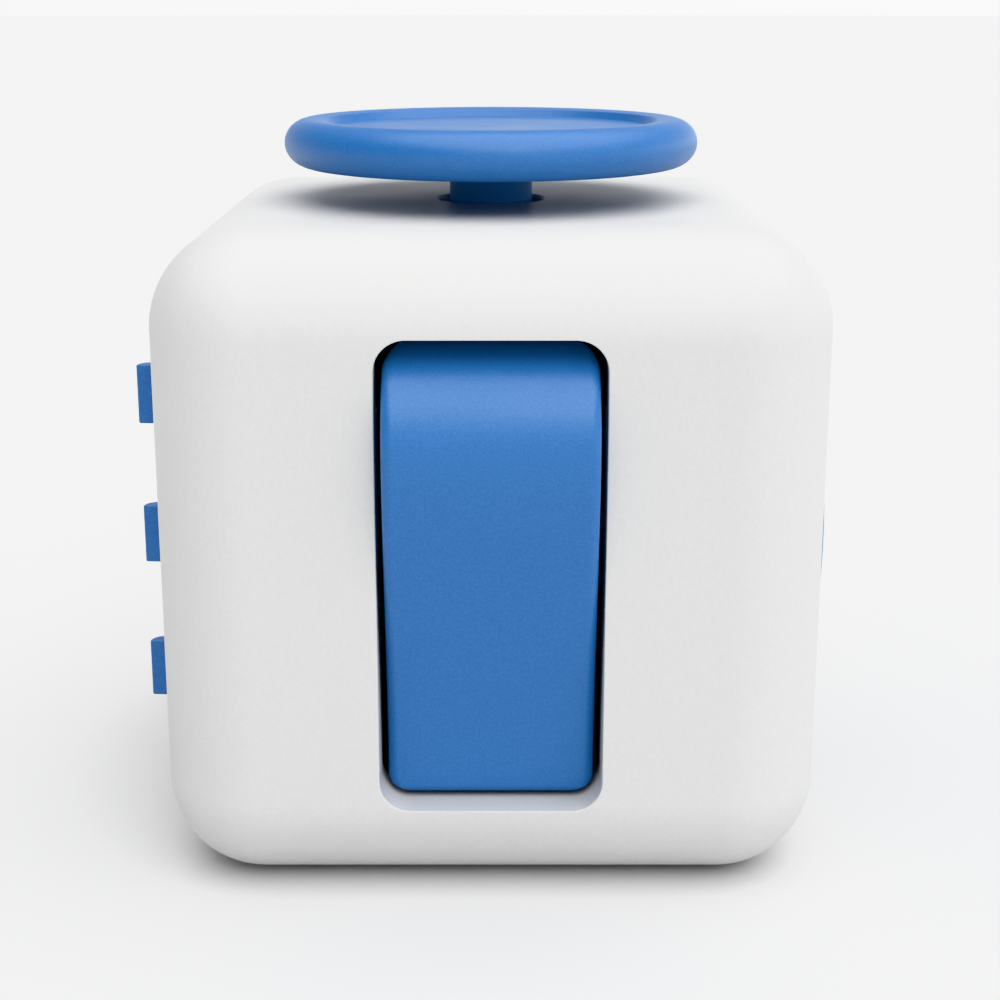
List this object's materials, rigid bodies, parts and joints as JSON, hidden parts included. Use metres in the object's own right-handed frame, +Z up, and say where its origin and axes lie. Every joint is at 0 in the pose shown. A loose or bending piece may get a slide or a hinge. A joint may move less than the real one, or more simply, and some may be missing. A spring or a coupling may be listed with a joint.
{
  "type": "fidget cube",
  "caption": "Palm-size fidget cube with rounded edges: thumb joystick on top, rocker in front, rolling gears and ball, dial, push buttons and an oval thumb dish.",
  "frame": {"origin": "centre of the base face, on the surface that the cube stands on", "axes": "+Z up through the joystick, -Y out of the rocker's face, +X out of the dial's face, -X out of the gears' face"},
  "size_m": [0.035, 0.0359, 0.0372],
  "materials": {
    "white_plastic": "satin moulded, white",
    "blue_plastic": "satin moulded with a fine grain, blue",
    "inner_plastic": "plain moulded, dark grey",
    "steel": "bright zinc plated",
    "silicone": "matt grey silicone"
  },
  "bodies": {
    "cube_body": {"main_housing": "white_plastic", "base_cover": "white_plastic", "rocker_cradle": "inner_plastic", "detent_plug": "inner_plastic", "gear_bracket": "inner_plastic", "ball_holder": "inner_plastic", "button_board": "inner_plastic", "joystick_frame": "inner_plastic", "rocker_pin": "steel", "rocker_spring": "steel", "cradle_screw_1": "steel", "cradle_screw_2": "steel", "cradle_screw_3": "steel", "cradle_screw_4": "steel", "gear_axle": "steel", "gear_click_spring_1": "steel", "gear_click_spring_2": "steel", "gear_click_spring_3": "steel", "gear_screw_1": "steel", "gear_screw_2": "steel", "ball_spring": "steel", "board_screw_1": "steel", "board_screw_2": "steel", "click_dome_1": "steel", "click_dome_2": "steel", "click_dome_3": "steel", "joystick_spring": "steel", "frame_screw_1": "steel", "frame_screw_2": "steel", "silent_pad_1": "silicone", "silent_pad_2": "silicone"},
    "rocker_body": {"rocker": "blue_plastic"},
    "plunger_body": {"rocker_plunger": "steel"},
    "gear_1_body": {"gear_1": "blue_plastic"},
    "gear_2_body": {"gear_2": "blue_plastic"},
    "gear_3_body": {"gear_3": "blue_plastic"},
    "ball_cup_body": {"ball_cup": "inner_plastic"},
    "ball_body": {"ball": "blue_plastic"},
    "dial_body": {"dial": "blue_plastic", "dial_retainer": "steel", "dial_screw": "steel"},
    "button_1_body": {"button_1": "blue_plastic"},
    "button_2_body": {"button_2": "blue_plastic"},
    "button_3_body": {"button_3": "blue_plastic"},
    "button_4_body": {"button_4": "blue_plastic"},
    "button_5_body": {"button_5": "blue_plastic"},
    "gimbal_body": {"joystick_gimbal": "steel"},
    "stick_body": {"joystick_disc": "blue_plastic", "joystick_hub": "inner_plastic", "joystick_screw": "steel"}
  },
  "joints": [
    {"name": "rocker_flip", "type": "hinge", "parent": "cube_body", "child": "rocker_body", "pos_m": [0, -0.009, 0.0165], "axis": [-1, 0, 0], "range_deg": [0, 18]},
    {"name": "plunger_slide", "type": "slide", "parent": "cube_body", "child": "plunger_body", "axis": [0, 1, 0], "range_m": [0, 0.0005], "stiffness_N_per_m": 300, "deforming": ["rocker_spring"]},
    {"name": "gear_1_spin", "type": "hinge", "parent": "cube_body", "child": "gear_1_body", "pos_m": [-0.0138, -0.0075, 0.0239], "axis": [0, 0, 1], "continuous": true, "deforming": ["gear_click_spring_1"]},
    {"name": "gear_2_spin", "type": "hinge", "parent": "cube_body", "child": "gear_2_body", "pos_m": [-0.0138, -0.0075, 0.0165], "axis": [0, 0, 1], "continuous": true, "deforming": ["gear_click_spring_2"]},
    {"name": "gear_3_spin", "type": "hinge", "parent": "cube_body", "child": "gear_3_body", "pos_m": [-0.0138, -0.0075, 0.0091], "axis": [0, 0, 1], "continuous": true, "deforming": ["gear_click_spring_3"]},
    {"name": "ball_press", "type": "slide", "parent": "cube_body", "child": "ball_cup_body", "axis": [1, 0, 0], "range_m": [0, 0.0009], "stiffness_N_per_m": 600, "deforming": ["ball_spring"]},
    {"name": "ball_roll", "type": "hinge", "parent": "ball_cup_body", "child": "ball_body", "pos_m": [-0.0139, 0.0053, 0.0165], "axis": [0, 0, 1], "continuous": true},
    {"name": "dial_spin", "type": "hinge", "parent": "cube_body", "child": "dial_body", "pos_m": [0.0165, 0, 0.0165], "axis": [1, 0, 0], "continuous": true},
    {"name": "button_1_press", "type": "slide", "parent": "cube_body", "child": "button_1_body", "axis": [0, -1, 0], "range_m": [0, 0.0011], "stiffness_N_per_m": 700, "deforming": ["click_dome_1"]},
    {"name": "button_2_press", "type": "slide", "parent": "cube_body", "child": "button_2_body", "axis": [0, -1, 0], "range_m": [0, 0.0011], "stiffness_N_per_m": 700, "deforming": ["silent_pad_1"]},
    {"name": "button_3_press", "type": "slide", "parent": "cube_body", "child": "button_3_body", "axis": [0, -1, 0], "range_m": [0, 0.0011], "stiffness_N_per_m": 700, "deforming": ["click_dome_2"]},
    {"name": "button_4_press", "type": "slide", "parent": "cube_body", "child": "button_4_body", "axis": [0, -1, 0], "range_m": [0, 0.0011], "stiffness_N_per_m": 700, "deforming": ["silent_pad_2"]},
    {"name": "button_5_press", "type": "slide", "parent": "cube_body", "child": "button_5_body", "axis": [0, -1, 0], "range_m": [0, 0.0011], "stiffness_N_per_m": 700, "deforming": ["click_dome_3"]},
    {"name": "joystick_tilt_fore_aft", "type": "hinge", "parent": "cube_body", "child": "gimbal_body", "pos_m": [0, 0, 0.0293], "axis": [1, 0, 0], "range_deg": [-6, 6], "stiffness_Nm_per_rad": 0.02, "deforming": ["joystick_spring"]},
    {"name": "joystick_tilt_sideways", "type": "hinge", "parent": "gimbal_body", "child": "stick_body", "pos_m": [0, 0, 0.0293], "axis": [0, 1, 0], "range_deg": [-6, 6], "stiffness_Nm_per_rad": 0.02}
  ]
}
